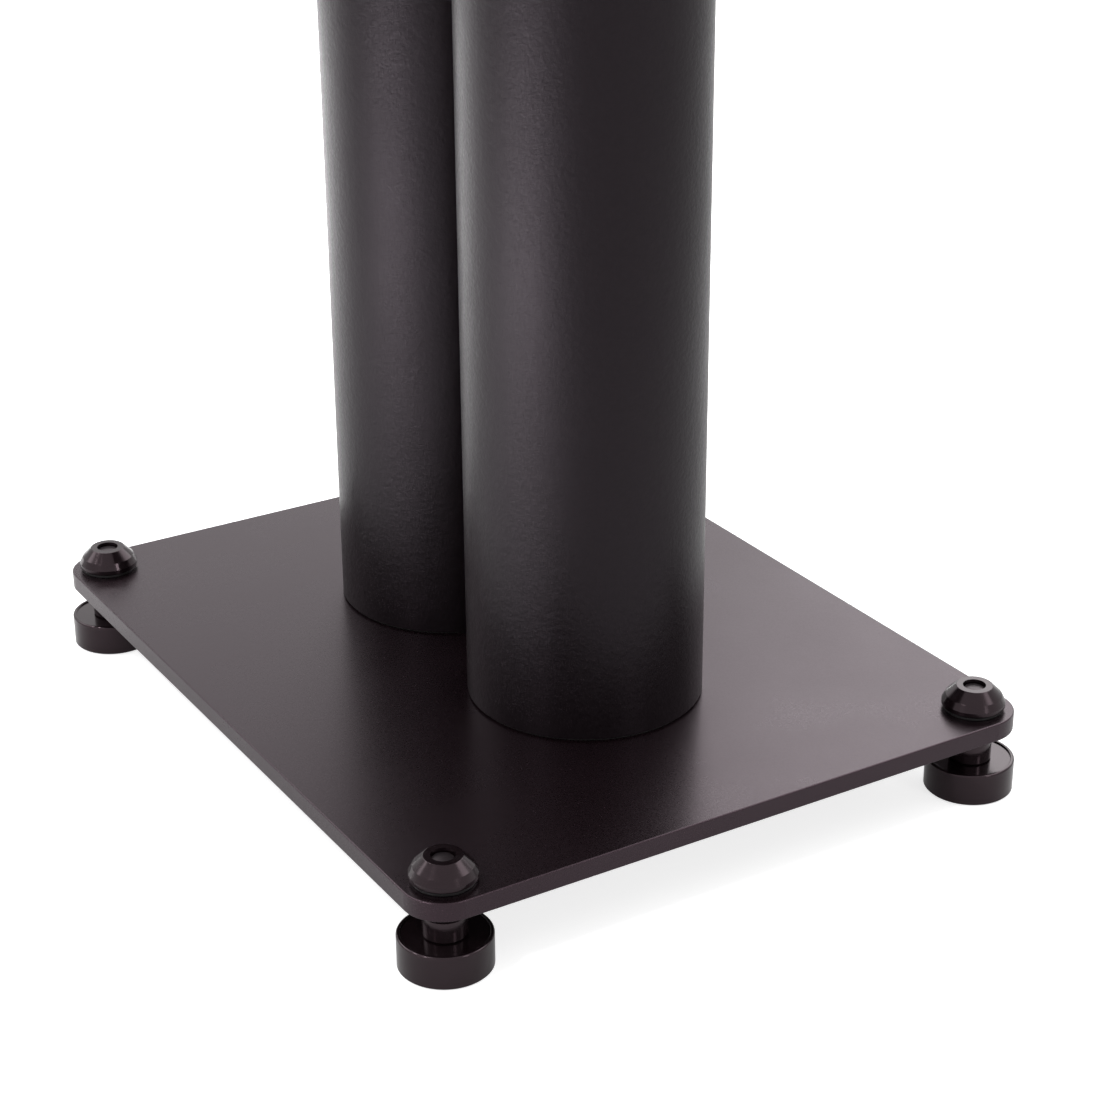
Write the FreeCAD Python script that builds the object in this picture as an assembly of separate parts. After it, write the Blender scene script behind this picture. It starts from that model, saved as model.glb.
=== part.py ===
import FreeCAD, Part
import math
import os

Vector = FreeCAD.Vector

# A speaker stand: a base plate on four levelling feet, two columns in line, and a top plate.
# Millimetres. Z = 0 is the floor, X runs across the stand and Y from its front (-Y) to its rear.

# Whole stand
stand_height = 610.0

# Base plate
base_width = 219.0
base_depth = 272.0
base_thickness = 6.3
base_corner_radius = 13.0

# Top plate
top_width = 165.0
top_depth = 215.0
top_thickness = 5.0
top_corner_radius = 12.0

# Both plates
plate_edge_radius = 0.5

# Columns
column_diameter = 76.2
column_wall = 2.0
column_gap = 12.0
column_edge_radius = 0.4

# Gaskets between a column's end and a plate
gasket_thickness = 0.5
gasket_setback = 0.8

# Plugs welded into the ends of the columns
plug_thickness = 12.0
plug_clearance = 0.15

# M8 threads, drawn as plain cylinders at their pitch diameter, which is the size less a share of the pitch
thread_size = 8.0
thread_pitch = 1.25
thread_depth_share = 0.65
thread_clearance = 0.05
thread_chamfer = 0.6

# Countersunk column screws
screw_length = 16.0
screw_head_diameter = 16.0
screw_head_sink = 0.1
screw_hole_clearance = 0.5
screw_socket_across_flats = 5.0
screw_socket_depth = 3.0

# Levelling feet
foot_inset = 13.0
foot_gap = 10.9
disc_diameter = 28.4
disc_height = 10.8
disc_rim_radius = 0.7
disc_rim_width = 1.2
disc_dish_depth = 0.5
disc_dish_edge_radius = 0.2
disc_bottom_chamfer = 0.4
pad_diameter = 24.0
pad_thickness = 1.2
pad_reach = 0.2
pad_clearance = 0.1
stem_diameter = 13.4
stem_shoulder_gap = 4.0
stem_edge_chamfer = 0.5
pivot_diameter = 6.0
pivot_length = 3.6
pivot_clearance = 0.05
pivot_end_gap = 0.3

# Lock nuts and their washers
nut_diameter = 20.2
nut_height = 7.1
nut_top_diameter = 11.6
nut_cone_height = 3.1
nut_shoulder_diameter = 17.9
nut_taper_height = 2.2
nut_edge_radius = 0.3
nut_bottom_chamfer = 0.5
stud_end_depth = 1.1
washer_diameter = 18.8
washer_thickness = 1.0
washer_bore_clearance = 0.4
washer_edge_chamfer = 0.2

# Heights that follow
disc_bottom = pad_reach
disc_top = disc_bottom + disc_height
dish_floor = disc_top - disc_dish_depth
base_bottom = disc_top + foot_gap
base_top = base_bottom + base_thickness
top_bottom = stand_height - top_thickness
column_bottom = base_top + gasket_thickness
column_top = top_bottom - gasket_thickness
shoulder_level = base_bottom - stem_shoulder_gap
nut_bottom = base_top + washer_thickness
nut_top = nut_bottom + nut_height
stud_top = nut_top - stud_end_depth

# Radii that follow
column_radius = column_diameter / 2
thread_radius = (thread_size - thread_depth_share * thread_pitch) / 2
thread_hole_radius = thread_radius + thread_clearance
screw_hole_radius = thread_size / 2 + screw_hole_clearance
screw_head_radius = screw_head_diameter / 2
disc_radius = disc_diameter / 2
dish_radius = disc_radius - disc_rim_width

# Places that follow
column_offset = (column_diameter + column_gap) / 2
columns = {
    "front_column": Vector(0, -column_offset, 0),
    "rear_column": Vector(0, column_offset, 0),
}
foot_x = base_width / 2 - foot_inset
foot_y = base_depth / 2 - foot_inset
feet = {
    "front_left": Vector(-foot_x, -foot_y, 0),
    "front_right": Vector(foot_x, -foot_y, 0),
    "rear_left": Vector(-foot_x, foot_y, 0),
    "rear_right": Vector(foot_x, foot_y, 0),
}

UP = Vector(0, 0, 1)


def cylinder(radius, bottom, top, centre):
    base = Vector(centre.x, centre.y, bottom)
    return Part.makeCylinder(radius, top - bottom, base, UP)


def turned(profile, centre):
    """Turn a closed outline of (radius, height) points about the vertical line at centre."""
    points = [Vector(radius, 0, height) for radius, height in profile]
    outline = Part.makePolygon(points + points[:1])
    solid = Part.Face(outline).revolve(Vector(0, 0, 0), UP, 360)
    solid.translate(centre)
    return solid


def ring_edges(solid, radius, height):
    """The round edges of a turned solid at one radius and height."""
    found = []
    for edge in solid.Edges:
        curve = edge.Curve
        if not isinstance(curve, Part.Circle):
            continue
        if math.isclose(curve.Radius, radius, abs_tol=1e-6):
            if math.isclose(curve.Center.z, height, abs_tol=1e-6):
                found.append(edge)
    return found


def rounded_plate(width, depth, thickness, corner_radius, bottom):
    corner = Vector(-width / 2, -depth / 2, bottom)
    plate = Part.makeBox(width, depth, thickness, corner)
    uprights = [edge for edge in plate.Edges if abs(edge.tangentAt(edge.FirstParameter).z) > 0.5]
    plate = plate.makeFillet(corner_radius, uprights)
    rims = [edge for edge in plate.Edges if edge.BoundBox.ZLength < thickness / 2]
    return plate.makeFillet(plate_edge_radius, rims)


def screw_seat(centre, face, direction):
    """The room for a countersunk screw that goes into a plate's face; direction is 1 up or -1 down."""
    seat_radius = screw_head_radius + screw_head_sink
    base = Vector(centre.x, centre.y, face)
    axis = Vector(0, 0, direction)
    taper = Part.makeCone(seat_radius, screw_hole_radius, seat_radius - screw_hole_radius, base, axis)
    hole = Part.makeCylinder(screw_hole_radius, screw_length, base, axis)
    return taper.fuse(hole)


def countersunk_screw(centre, face, direction):
    """A screw whose 90 degree head bears on its seat, just below the plate's face."""
    head_level = face + direction * screw_head_sink
    neck_level = head_level + direction * (screw_head_radius - thread_radius)
    tip_level = head_level + direction * screw_length
    screw = turned([
        (0, head_level),
        (screw_head_radius, head_level),
        (thread_radius, neck_level),
        (thread_radius, tip_level - direction * thread_chamfer),
        (thread_radius - thread_chamfer, tip_level),
        (0, tip_level),
    ], centre)
    head_centre = Vector(centre.x, centre.y, head_level)
    depth = Vector(0, 0, direction * screw_socket_depth)
    return screw.cut(hexagon_prism(screw_socket_across_flats, head_centre, depth))


def hexagon_prism(across_flats, centre, depth):
    corner_radius = across_flats / math.sqrt(3)
    corners = []
    for index in range(6):
        angle = math.radians(60 * index)
        corners.append(centre + Vector(corner_radius * math.cos(angle), corner_radius * math.sin(angle), 0))
    outline = Part.makePolygon(corners + corners[:1])
    return Part.Face(outline).extrude(depth)


def make_base_plate():
    plate = rounded_plate(base_width, base_depth, base_thickness, base_corner_radius, base_bottom)
    for centre in feet.values():
        plate = plate.cut(cylinder(thread_hole_radius, base_bottom, base_top, centre))
    for centre in columns.values():
        plate = plate.cut(screw_seat(centre, base_bottom, 1))
    return plate


def make_top_plate():
    plate = rounded_plate(top_width, top_depth, top_thickness, top_corner_radius, top_bottom)
    for centre in columns.values():
        plate = plate.cut(screw_seat(centre, stand_height, -1))
    return plate


def make_column(centre):
    outer = cylinder(column_radius, column_bottom, column_top, centre)
    for level in (column_bottom, column_top):
        outer = outer.makeFillet(column_edge_radius, ring_edges(outer, column_radius, level))
    inner = cylinder(column_radius - column_wall, column_bottom, column_top, centre)
    return outer.cut(inner)


def make_plug(centre, bottom):
    plug_radius = column_radius - column_wall - plug_clearance
    disc = cylinder(plug_radius, bottom, bottom + plug_thickness, centre)
    return disc.cut(cylinder(thread_hole_radius, bottom, bottom + plug_thickness, centre))


def make_gasket(centre, bottom):
    top = bottom + gasket_thickness
    disc = cylinder(column_radius - gasket_setback, bottom, top, centre)
    return disc.cut(cylinder(screw_hole_radius, bottom, top, centre))


def make_foot_stud(centre):
    stem_radius = stem_diameter / 2
    pivot_radius = pivot_diameter / 2
    return turned([
        (0, dish_floor - pivot_length),
        (pivot_radius - stem_edge_chamfer, dish_floor - pivot_length),
        (pivot_radius, dish_floor - pivot_length + stem_edge_chamfer),
        (pivot_radius, dish_floor),
        (stem_radius - stem_edge_chamfer, dish_floor),
        (stem_radius, dish_floor + stem_edge_chamfer),
        (stem_radius, shoulder_level - stem_edge_chamfer),
        (stem_radius - stem_edge_chamfer, shoulder_level),
        (thread_radius, shoulder_level),
        (thread_radius, stud_top - thread_chamfer),
        (thread_radius - thread_chamfer, stud_top),
        (0, stud_top),
    ], centre)


def make_foot_disc(centre):
    pivot_hole_radius = pivot_diameter / 2 + pivot_clearance
    pivot_hole_floor = dish_floor - pivot_length - pivot_end_gap
    pad_seat_radius = pad_diameter / 2 + pad_clearance
    pad_seat_top = pad_thickness
    disc = turned([
        (0, pad_seat_top),
        (pad_seat_radius, pad_seat_top),
        (pad_seat_radius, disc_bottom),
        (disc_radius - disc_bottom_chamfer, disc_bottom),
        (disc_radius, disc_bottom + disc_bottom_chamfer),
        (disc_radius, disc_top),
        (dish_radius, disc_top),
        (dish_radius, dish_floor),
        (pivot_hole_radius, dish_floor),
        (pivot_hole_radius, pivot_hole_floor),
        (0, pivot_hole_floor),
    ], Vector(0, 0, 0))
    disc = disc.makeFillet(disc_rim_radius, ring_edges(disc, disc_radius, disc_top))
    disc = disc.makeFillet(disc_dish_edge_radius, ring_edges(disc, dish_radius, disc_top))
    disc.translate(centre)
    return disc


def make_foot_pad(centre):
    return cylinder(pad_diameter / 2, 0, pad_thickness, centre)


def make_lock_nut(centre):
    nut_radius = nut_diameter / 2
    shoulder_radius = nut_shoulder_diameter / 2
    top_radius = nut_top_diameter / 2
    shoulder_height = nut_top - nut_cone_height
    nut = turned([
        (thread_hole_radius, nut_bottom),
        (nut_radius - nut_bottom_chamfer, nut_bottom),
        (nut_radius, nut_bottom + nut_bottom_chamfer),
        (nut_radius, shoulder_height - nut_taper_height),
        (shoulder_radius, shoulder_height),
        (top_radius, nut_top),
        (thread_hole_radius, nut_top),
    ], Vector(0, 0, 0))
    for radius, height in ((shoulder_radius, shoulder_height), (top_radius, nut_top)):
        nut = nut.makeFillet(nut_edge_radius, ring_edges(nut, radius, height))
    nut.translate(centre)
    return nut


def make_lock_washer(centre):
    washer_radius = washer_diameter / 2
    bore_radius = thread_radius + washer_bore_clearance
    return turned([
        (bore_radius, base_top),
        (washer_radius - washer_edge_chamfer, base_top),
        (washer_radius, base_top + washer_edge_chamfer),
        (washer_radius, nut_bottom),
        (bore_radius, nut_bottom),
    ], centre)


def all_parts():
    parts = {
        "base_plate": make_base_plate(),
        "top_plate": make_top_plate(),
    }
    for column, centre in columns.items():
        parts[column] = make_column(centre)
        parts[column + "_lower_plug"] = make_plug(centre, column_bottom)
        parts[column + "_upper_plug"] = make_plug(centre, column_top - plug_thickness)
        parts[column + "_lower_gasket"] = make_gasket(centre, base_top)
        parts[column + "_upper_gasket"] = make_gasket(centre, column_top)
        parts[column + "_lower_screw"] = countersunk_screw(centre, base_bottom, 1)
        parts[column + "_upper_screw"] = countersunk_screw(centre, stand_height, -1)
    for corner, centre in feet.items():
        parts[corner + "_foot_stud"] = make_foot_stud(centre)
        parts[corner + "_foot_disc"] = make_foot_disc(centre)
        parts[corner + "_foot_pad"] = make_foot_pad(centre)
        parts[corner + "_lock_nut"] = make_lock_nut(centre)
        parts[corner + "_lock_washer"] = make_lock_washer(centre)
    return parts


os.makedirs("parts", exist_ok=True)
for name, shape in all_parts().items():
    if not shape.isValid() or len(shape.Solids) != 1:
        raise ValueError(name + " is not one valid solid")
    shape.exportStep("parts/" + name + ".step")
    print(name, round(shape.Volume, 1))
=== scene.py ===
import math
import bmesh
import bpy
from mathutils import Matrix, Vector


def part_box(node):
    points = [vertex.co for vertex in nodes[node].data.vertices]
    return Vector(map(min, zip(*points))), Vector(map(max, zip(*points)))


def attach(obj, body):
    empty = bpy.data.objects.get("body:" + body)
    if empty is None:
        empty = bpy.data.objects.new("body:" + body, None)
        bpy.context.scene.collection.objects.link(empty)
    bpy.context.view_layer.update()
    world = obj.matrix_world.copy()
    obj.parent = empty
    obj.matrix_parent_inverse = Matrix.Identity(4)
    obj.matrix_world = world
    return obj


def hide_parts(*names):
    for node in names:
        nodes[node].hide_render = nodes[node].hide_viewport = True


# Metres, in the frame of the CAD model: Z = 0 is the floor, X runs across the stand, Y front to rear.

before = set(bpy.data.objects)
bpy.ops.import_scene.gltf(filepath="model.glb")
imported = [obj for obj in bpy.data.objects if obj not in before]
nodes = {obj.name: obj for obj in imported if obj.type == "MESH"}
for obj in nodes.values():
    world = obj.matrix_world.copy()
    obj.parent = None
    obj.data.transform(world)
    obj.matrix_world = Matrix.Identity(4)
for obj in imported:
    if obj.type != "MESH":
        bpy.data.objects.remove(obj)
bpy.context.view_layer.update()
scene = bpy.context.scene
scene.view_settings.view_transform = "Standard"

CORNERS = ("front_left", "front_right", "rear_left", "rear_right")
COLUMNS = ("front_column", "rear_column")
ENDS = ("lower", "upper")

# The levelling feet stand at (+-FOOT_X, +-FOOT_Y).
FOOT_X = 0.0965
FOOT_Y = 0.123


# Camera

CAMERA_PLACE = Vector((-0.3856, -0.6605, 0.4103))
CAMERA_AZIMUTH = math.radians(-31.164)
CAMERA_ELEVATION = math.radians(24.672)
CAMERA_ROLL = math.radians(-0.438)
CAMERA_LENS = 82.586
CAMERA_SENSOR = 36.0


def make_camera():
    back = Vector((
        math.sin(CAMERA_AZIMUTH) * math.cos(CAMERA_ELEVATION),
        -math.cos(CAMERA_AZIMUTH) * math.cos(CAMERA_ELEVATION),
        math.sin(CAMERA_ELEVATION),
    ))
    level_right = (-back).cross(Vector((0, 0, 1))).normalized()
    level_up = back.cross(level_right)
    turn_cos = math.cos(CAMERA_ROLL)
    turn_sin = math.sin(CAMERA_ROLL)
    right = level_right * turn_cos + level_up * turn_sin
    up = level_up * turn_cos - level_right * turn_sin
    data = bpy.data.cameras.new("camera")
    data.lens = CAMERA_LENS
    data.sensor_width = CAMERA_SENSOR
    camera = bpy.data.objects.new("camera", data)
    scene.collection.objects.link(camera)
    turned = Matrix((right, up, back)).transposed().to_4x4()
    camera.matrix_world = Matrix.Translation(CAMERA_PLACE) @ turned
    scene.camera = camera


# Shader building

class Shader:
    """A material's node tree, with short calls to add and link nodes."""

    def __init__(self, name):
        self.material = bpy.data.materials.new(name)
        self.material.use_nodes = True
        self.tree = self.material.node_tree
        self.surface = self.tree.nodes["Principled BSDF"]

    def node(self, kind, inputs=None, **settings):
        made = self.tree.nodes.new("ShaderNode" + kind)
        for key, value in settings.items():
            setattr(made, key, value)
        for key, value in (inputs or {}).items():
            if isinstance(value, bpy.types.NodeSocket):
                self.tree.links.new(value, made.inputs[key])
            else:
                made.inputs[key].default_value = value
        return made

    def math(self, operation, first, second=0.0, clamp=False):
        return self.node("Math", {0: first, 1: second}, operation=operation, use_clamp=clamp).outputs[0]

    def ramp(self, value, low, high, to_low=0.0, to_high=1.0):
        made = self.node("MapRange", {"Value": value, "From Min": low, "From Max": high,
                                      "To Min": to_low, "To Max": to_high})
        return made.outputs["Result"]

    def mix(self, factor, first, second):
        made = self.node("Mix", data_type="RGBA")
        self.tree.links.new(factor, made.inputs["Factor"])
        made.inputs[6].default_value = (*first, 1.0)
        made.inputs[7].default_value = (*second, 1.0)
        return made.outputs[2]

    def place(self):
        return self.node("TexCoord").outputs["Object"]

    def noise(self, size, detail=2.0, roughness=0.5, place=None):
        """Smooth noise whose features are about size metres across."""
        made = self.node("TexNoise", {"Vector": place or self.place(), "Scale": 1.0 / size,
                                      "Detail": detail, "Roughness": roughness})
        return made.outputs["Fac"]

    def edges(self, radius):
        """1 on sharp edges within radius metres and 0 on open faces."""
        rounded = self.node("Bevel", {"Radius": radius}, samples=4).outputs[0]
        flat = self.node("NewGeometry").outputs["Normal"]
        same = self.node("VectorMath", {0: rounded, 1: flat}, operation="DOT_PRODUCT").outputs["Value"]
        return self.ramp(same, 1.0, 0.8)

    def bump(self, height, depth, normal=None):
        inputs = {"Height": height, "Distance": depth, "Strength": 1.0}
        if normal is not None:
            inputs["Normal"] = normal
        return self.node("Bump", inputs).outputs["Normal"]

    def link(self, value, socket):
        self.tree.links.new(value, self.surface.inputs[socket])

    def set(self, **sockets):
        for name, value in sockets.items():
            self.surface.inputs[name.replace("_", " ")].default_value = value


CLOUD_SIZE = 0.06
SWELL_SIZE = 0.003
COAT_RUB_AND_HIGHLIGHT_WIDTH = 0.0006


def powder_coat(name, dark, light, smooth, rough, grain, grain_depth, swell_depth, ior, tint):
    """Black powder coat: a fine grain on a soft swell, cloudy gloss, and smoother rubbed edges whose
    colour is lightened as a painted highlight.
    """
    shader = Shader(name)
    fine = shader.noise(grain, detail=2.0, roughness=0.55)
    cloud = shader.noise(CLOUD_SIZE, detail=3.0)
    speck = shader.noise(grain * 0.6, detail=1.0)
    # Edge mask: smoother rubbed edges in the gloss, and a painted highlight in the colour.
    rub_and_painted_highlight = shader.edges(COAT_RUB_AND_HIGHLIGHT_WIDTH)
    gloss = shader.ramp(cloud, 0.3, 0.7, smooth, rough)
    gloss = shader.math("SUBTRACT", gloss, shader.math("MULTIPLY", rub_and_painted_highlight, 0.06))
    gloss = shader.math("ADD", gloss, shader.ramp(speck, 0.35, 0.65, -0.03, 0.03))
    shader.link(gloss, "Roughness")
    grain_tone = shader.ramp(fine, 0.3, 0.7, 0.0, 0.6)
    # Painted highlight: the edges' base colour is lightened by the edge mask.
    tone = shader.math("ADD", grain_tone, shader.math("MULTIPLY", rub_and_painted_highlight, 0.4))
    shader.link(shader.mix(tone, dark, light), "Base Color")
    swell = shader.bump(shader.noise(SWELL_SIZE, detail=1.0), swell_depth)
    shader.link(shader.bump(fine, grain_depth, swell), "Normal")
    shader.set(IOR=ior, Specular_Tint=(*tint, 1.0))
    return shader


def lathe_coordinate(shader):
    """A length that grows along a turned foot piece's outline, the same at all four corners."""
    parts = shader.node("SeparateXYZ", {0: shader.place()}).outputs
    across = shader.math("SUBTRACT", shader.math("ABSOLUTE", parts["X"]), FOOT_X)
    along = shader.math("SUBTRACT", shader.math("ABSOLUTE", parts["Y"]), FOOT_Y)
    radius = shader.math("SQRT", shader.math("ADD", shader.math("MULTIPLY", across, across),
                                             shader.math("MULTIPLY", along, along)))
    return shader.math("ADD", radius, parts["Z"])


TOOL_LINE_SIZE = 0.00022
TOOL_LINE_DEPTH = 0.000002
MARK_SIZE = 0.004
TURNED_RUB_AND_HIGHLIGHT_WIDTH = 0.0004
TURNED_TINT = (1.0, 0.76, 0.85, 1.0)


def turned_black(name, dark, light, smooth, rough, ior=1.5):
    """Blackened turned steel: faint tool lines round the piece, handling marks, and edges a little
    rougher whose colour is lightened as a painted highlight.
    """
    shader = Shader(name)
    line_place = shader.node("CombineXYZ", {"X": lathe_coordinate(shader)}).outputs[0]
    lines = shader.noise(TOOL_LINE_SIZE, detail=2.0, place=line_place)
    marks = shader.noise(MARK_SIZE, detail=4.0, roughness=0.6)
    # Edge mask: a little rougher edges in the gloss, and a painted highlight in the colour.
    rub_and_painted_highlight = shader.edges(TURNED_RUB_AND_HIGHLIGHT_WIDTH)
    gloss = shader.ramp(marks, 0.35, 0.7, smooth, rough)
    gloss = shader.math("ADD", gloss, shader.math("MULTIPLY", rub_and_painted_highlight, 0.05))
    shader.link(gloss, "Roughness")
    mark_tone = shader.ramp(marks, 0.3, 0.75, 0.0, 0.5)
    # Painted highlight: the edges' base colour is lightened by the edge mask.
    tone = shader.math("ADD", mark_tone, shader.math("MULTIPLY", rub_and_painted_highlight, 0.5))
    shader.link(shader.mix(tone, dark, light), "Base Color")
    shader.link(shader.bump(lines, TOOL_LINE_DEPTH), "Normal")
    shader.set(IOR=ior, Specular_Tint=TURNED_TINT)
    return shader


def soft_black(name, dark, light, smooth, rough, grain):
    """Rubber or nylon: dull, with a fine grain and a little dust."""
    shader = Shader(name)
    fine = shader.noise(grain, detail=3.0)
    dust = shader.noise(0.003, detail=4.0, roughness=0.65)
    shader.link(shader.ramp(fine, 0.3, 0.7, smooth, rough), "Roughness")
    shader.link(shader.mix(shader.ramp(dust, 0.45, 0.8), dark, light), "Base Color")
    shader.link(shader.bump(fine, 0.00001), "Normal")
    return shader


def bare_steel(name):
    """Turned bare steel, as in the plugs inside the columns."""
    shader = Shader(name)
    lines = shader.noise(0.0004, detail=3.0)
    shader.link(shader.ramp(lines, 0.3, 0.7, 0.25, 0.42), "Roughness")
    shader.link(shader.mix(lines, (0.42, 0.42, 0.41), (0.56, 0.56, 0.55)), "Base Color")
    shader.link(shader.bump(lines, 0.000004), "Normal")
    shader.set(Metallic=1.0)
    return shader


def dress(piece, shader):
    piece.data.materials.clear()
    piece.data.materials.append(shader.material)


# Foot studs

PLATE_THICKNESS = 0.0063
SHOULDER_GAP = 0.004
PIVOT_RADIUS = 0.003
PIVOT_DEPTH = 0.0036
STUD_EDGE = 0.0005
END_CHAMFER = 0.0002
THREAD_PITCH = 0.00125
THREAD_CREST = 0.00362
THREAD_ROOT = 0.00322
# The thread's flanks, as a height that is cut off at 0 and 1 to leave the root and the crest flat.
FLANK_PEAK = 1.35
FLANK_SLOPE = 3.4
# The share of a pitch over which the thread fades out at the stud's top end.
TOP_FADE = 0.6
# Rows in a pitch, and points in a round.
THREAD_STEPS = 10
ROUND_STEPS = 48


def thread_radius(height, turn, start, end):
    """The radius of a right-handed thread at a height and a share of a turn, fading at both ends."""
    phase = (height / THREAD_PITCH - turn) % 1.0
    rise = min(1.0, max(0.0, FLANK_PEAK - abs(phase - 0.5) * FLANK_SLOPE))
    fade_in = max(0.0, (height - start) / THREAD_PITCH)
    fade_out = max(0.0, (end - height) / (TOP_FADE * THREAD_PITCH))
    return THREAD_ROOT + (THREAD_CREST - THREAD_ROOT) * rise * min(1.0, fade_in, fade_out)


def stem_rows(floor, shoulder, stem):
    """The pivot and the stem, from below, as rows of radius and height."""
    seat = floor + PIVOT_DEPTH
    return [
        (0.0, floor),
        (PIVOT_RADIUS - STUD_EDGE, floor),
        (PIVOT_RADIUS, floor + STUD_EDGE),
        (PIVOT_RADIUS, seat),
        (stem - STUD_EDGE, seat),
        (stem, seat + STUD_EDGE),
        (stem, shoulder - STUD_EDGE),
        (stem - STUD_EDGE, shoulder),
        (THREAD_ROOT, shoulder),
    ]


def thread_rows(shoulder, top):
    """The thread and the stud's top end; a radius of None stands for the thread's own."""
    steps = round((top - shoulder) / THREAD_PITCH * THREAD_STEPS)
    rows = [(None, shoulder + (top - shoulder) * step / steps) for step in range(1, steps)]
    return rows + [(THREAD_ROOT - END_CHAMFER, top), (0.0, top)]


def make_ring(mesh, centre, row, start, end):
    """One row's points: a single one on the axis, or a round of them."""
    radius, height = row
    if radius == 0.0:
        return [mesh.verts.new((centre.x, centre.y, height))]
    ring = []
    for step in range(ROUND_STEPS):
        turn = step / ROUND_STEPS
        reach = thread_radius(height, turn, start, end) if radius is None else radius
        angle = 2 * math.pi * turn
        place = (centre.x + reach * math.cos(angle), centre.y + reach * math.sin(angle), height)
        ring.append(mesh.verts.new(place))
    return ring


def join_rings(mesh, lower, upper, material_index):
    for step in range(ROUND_STEPS):
        after = (step + 1) % ROUND_STEPS
        corners = [lower[step % len(lower)], lower[after % len(lower)],
                   upper[after % len(upper)], upper[step % len(upper)]]
        face = mesh.faces.new(list(dict.fromkeys(corners)))
        face.smooth = True
        face.material_index = material_index


def make_stud(corner):
    """A foot stud with its thread cut as a real helix, from the pivot under its stem to its top end."""
    low, high = (Vector(place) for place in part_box(f"{corner}_foot_stud"))
    centre = (low + high) / 2
    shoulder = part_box("base_plate")[1][2] - PLATE_THICKNESS - SHOULDER_GAP
    stem = stem_rows(low.z, shoulder, (high.x - low.x) / 2)
    rows = stem + thread_rows(shoulder, high.z)
    mesh = bmesh.new()
    rings = [make_ring(mesh, centre, row, shoulder, high.z) for row in rows]
    for index in range(len(rings) - 1):
        join_rings(mesh, rings[index], rings[index + 1], 0 if index < len(stem) - 1 else 1)
    data = bpy.data.meshes.new(f"{corner}_threaded_stud")
    mesh.to_mesh(data)
    mesh.free()
    data.set_sharp_from_angle(angle=math.radians(35))
    stud = bpy.data.objects.new(f"{corner}_threaded_stud", data)
    scene.collection.objects.link(stud)
    data.materials.append(stem_black.material)
    data.materials.append(stud_end.material)
    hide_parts(f"{corner}_foot_stud")
    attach(stud, f"{corner}_stud")


# Stage

def background_ray(tree):
    """1 for the rays that see the white background: the camera's, and those in gloss or glass."""
    rays = tree.nodes.new("ShaderNodeLightPath").outputs
    seen = rays["Is Camera Ray"]
    for kind in ("Is Glossy Ray", "Is Transmission Ray"):
        either = tree.nodes.new("ShaderNodeMath")
        either.operation = "MAXIMUM"
        tree.links.new(seen, either.inputs[0])
        tree.links.new(rays[kind], either.inputs[1])
        seen = either.outputs[0]
    return seen


FLOOR_REACH = 8.0
FLOOR_WHITE = 0.70
FLOOR_LIFT = 0.22
CAMERA_LIFT = 0.54


def make_floor():
    mesh = bmesh.new()
    bmesh.ops.create_grid(mesh, x_segments=1, y_segments=1, size=FLOOR_REACH)
    data = bpy.data.meshes.new("floor")
    mesh.to_mesh(data)
    mesh.free()
    floor = bpy.data.objects.new("floor", data)
    scene.collection.objects.link(floor)
    shader = Shader("floor_white")
    shader.set(Base_Color=(FLOOR_WHITE, FLOOR_WHITE, FLOOR_WHITE, 1.0), Roughness=0.9,
               Specular_IOR_Level=0.0, Emission_Color=(1.0, 1.0, 1.0, 1.0))
    seen = shader.node("LightPath").outputs["Is Camera Ray"]
    lift = shader.math("MULTIPLY", background_ray(shader.tree), FLOOR_LIFT)
    camera_lift = shader.math("MULTIPLY", seen, CAMERA_LIFT)
    shader.link(shader.math("ADD", lift, camera_lift), "Emission Strength")
    dress(floor, shader)


ROOM_LIGHT = 0.36


def make_world():
    world = bpy.data.worlds.new("studio")
    scene.world = world
    world.use_nodes = True
    tree = world.node_tree
    background = tree.nodes["Background"]
    strength = tree.nodes.new("ShaderNodeMix")
    tree.links.new(background_ray(tree), strength.inputs["Factor"])
    strength.inputs["A"].default_value = ROOM_LIGHT
    strength.inputs["B"].default_value = 1.0
    background.inputs["Color"].default_value = (1.0, 1.0, 1.0, 1.0)
    tree.links.new(strength.outputs["Result"], background.inputs["Strength"])


def make_lamp(name, azimuth, elevation, distance, width, height, power, target=(0, 0, 0.1), spread=180):
    """A soft box, in watts; azimuth is its bearing as seen from its target, from +Y towards +X."""
    data = bpy.data.lights.new(name, "AREA")
    data.shape = "RECTANGLE"
    data.size = width
    data.size_y = height
    data.energy = power
    data.spread = math.radians(spread)
    lamp = bpy.data.objects.new(name, data)
    scene.collection.objects.link(lamp)
    bearing = math.radians(azimuth)
    rise = math.radians(elevation)
    aim = Vector(target)
    level = math.cos(rise)
    away = Vector((math.sin(bearing) * level, math.cos(bearing) * level, math.sin(rise)))
    lamp.location = aim + away * distance
    lamp.rotation_euler = away.to_track_quat("Z", "Y").to_euler()


make_camera()
make_floor()
make_world()
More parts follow.
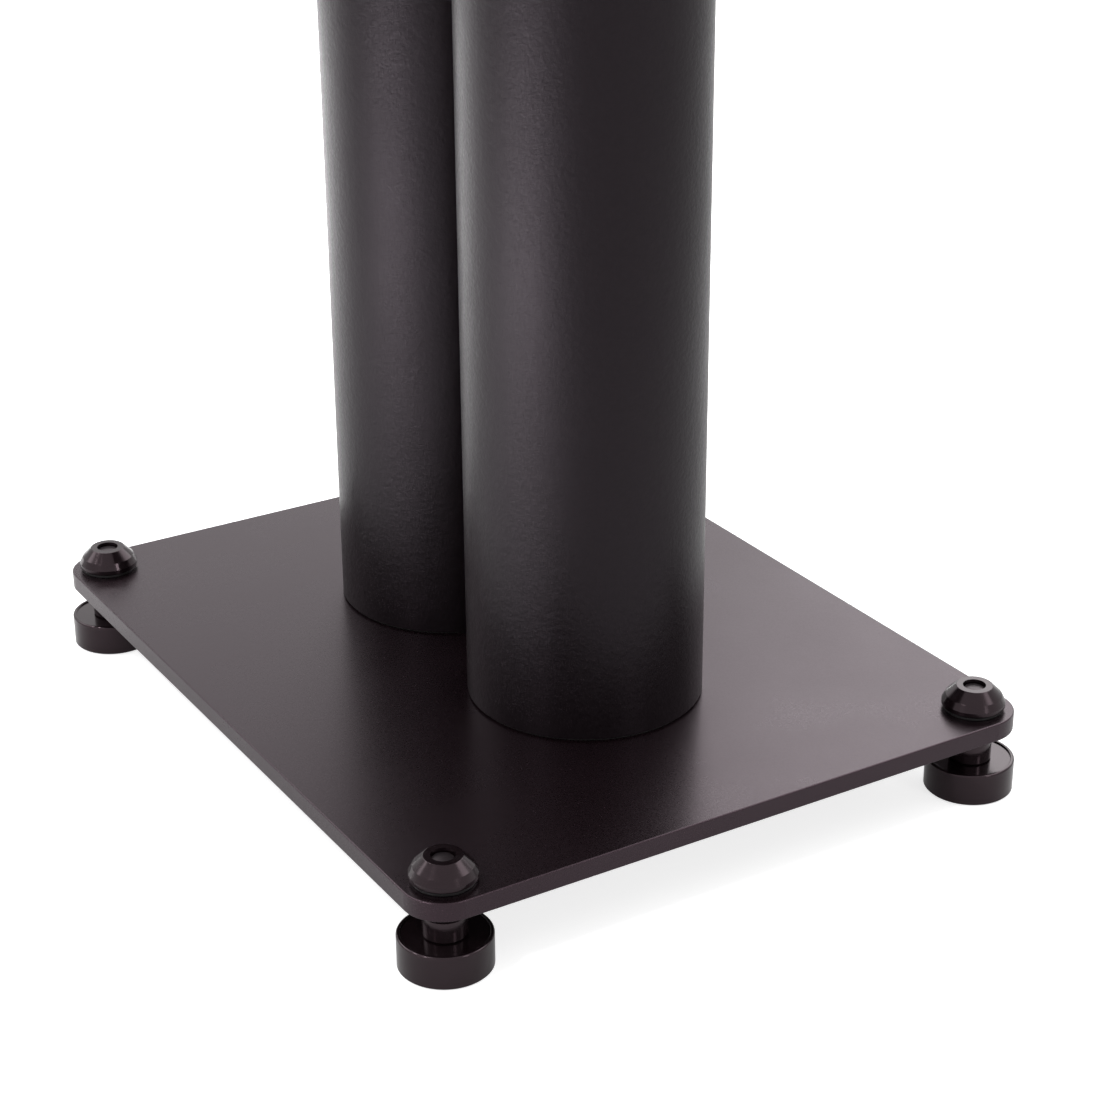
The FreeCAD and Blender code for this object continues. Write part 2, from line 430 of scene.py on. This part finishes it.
# Azimuth and elevation in degrees, then distance, width, height and power.
make_lamp("back_right_box", 64, 38, 2.0, 1.8, 1.3, 19)
make_lamp("back_box", 12, 17, 2.2, 2.2, 0.5, 1.4)
make_lamp("back_left_box", -36, 36, 2.0, 1.2, 0.7, 8)
make_lamp("right_box", 108, 42, 0.6, 0.3, 0.25, 0.65, target=(-FOOT_X, -FOOT_Y, 0.03))
make_lamp("left_box", -64, 49, 1.5, 0.12, 0.12, 3)
make_lamp("front_left_box", -104, 36, 1.5, 0.1, 0.1, 4.5)
make_lamp("front_box", 166, 27.5, 1.8, 0.25, 0.3, 3, target=(0, 0, 0.03))
make_lamp("left_floor_box", 0, 89.9, 0.75, 0.35, 0.26, 7.5, target=(-0.66, -0.10, 0.0), spread=60)
make_lamp("back_floor_box", 0, 89.9, 0.9, 1.4, 0.7, 14, target=(0.0, 0.85, 0.0), spread=80)

plate_coat = powder_coat(
    "plate_coat", dark=(0.003, 0.0012, 0.0017), light=(0.005, 0.0026, 0.0034), smooth=0.27, rough=0.33,
    grain=0.0009, grain_depth=0.000006, swell_depth=0.00001, ior=1.5, tint=(1.0, 0.70, 0.85))
column_coat = powder_coat(
    "column_coat", dark=(0.0024, 0.0012, 0.0016), light=(0.0048, 0.003, 0.0037), smooth=0.34, rough=0.40,
    grain=0.0014, grain_depth=0.00008, swell_depth=0.00006, ior=1.35, tint=(1.0, 0.87, 0.98))
foot_black = turned_black("foot_black", (0.005, 0.0025, 0.0032), (0.010, 0.007, 0.008), 0.12, 0.18, 1.45)
nut_black = turned_black("nut_black", (0.005, 0.0025, 0.0032), (0.010, 0.007, 0.008), 0.14, 0.20, 1.42)
stem_black = turned_black("stem_black", (0.010, 0.006, 0.0075), (0.018, 0.014, 0.015), 0.14, 0.20)
screw_black = turned_black("screw_black", (0.012, 0.012, 0.012), (0.03, 0.03, 0.03), 0.25, 0.35)
stud_end = turned_black("stud_end", (0.01, 0.008, 0.009), (0.03, 0.027, 0.028), 0.32, 0.42)
rubber = soft_black("rubber", (0.008, 0.008, 0.008), (0.02, 0.019, 0.018), 0.6, 0.75, 0.0003)
nylon = soft_black("nylon", (0.01, 0.01, 0.01), (0.02, 0.02, 0.02), 0.4, 0.5, 0.0004)
steel = bare_steel("plug_steel")

for name in ("base_plate", "top_plate"):
    dress(nodes[name], plate_coat)
for column in COLUMNS:
    dress(nodes[column], column_coat)
    for end in ENDS:
        dress(nodes[f"{column}_{end}_plug"], steel)
        dress(nodes[f"{column}_{end}_gasket"], rubber)
        dress(nodes[f"{column}_{end}_screw"], screw_black)
for corner in CORNERS:
    make_stud(corner)
    dress(nodes[f"{corner}_foot_disc"], foot_black)
    dress(nodes[f"{corner}_lock_nut"], nut_black)
    dress(nodes[f"{corner}_foot_pad"], rubber)
    dress(nodes[f"{corner}_lock_washer"], nylon)
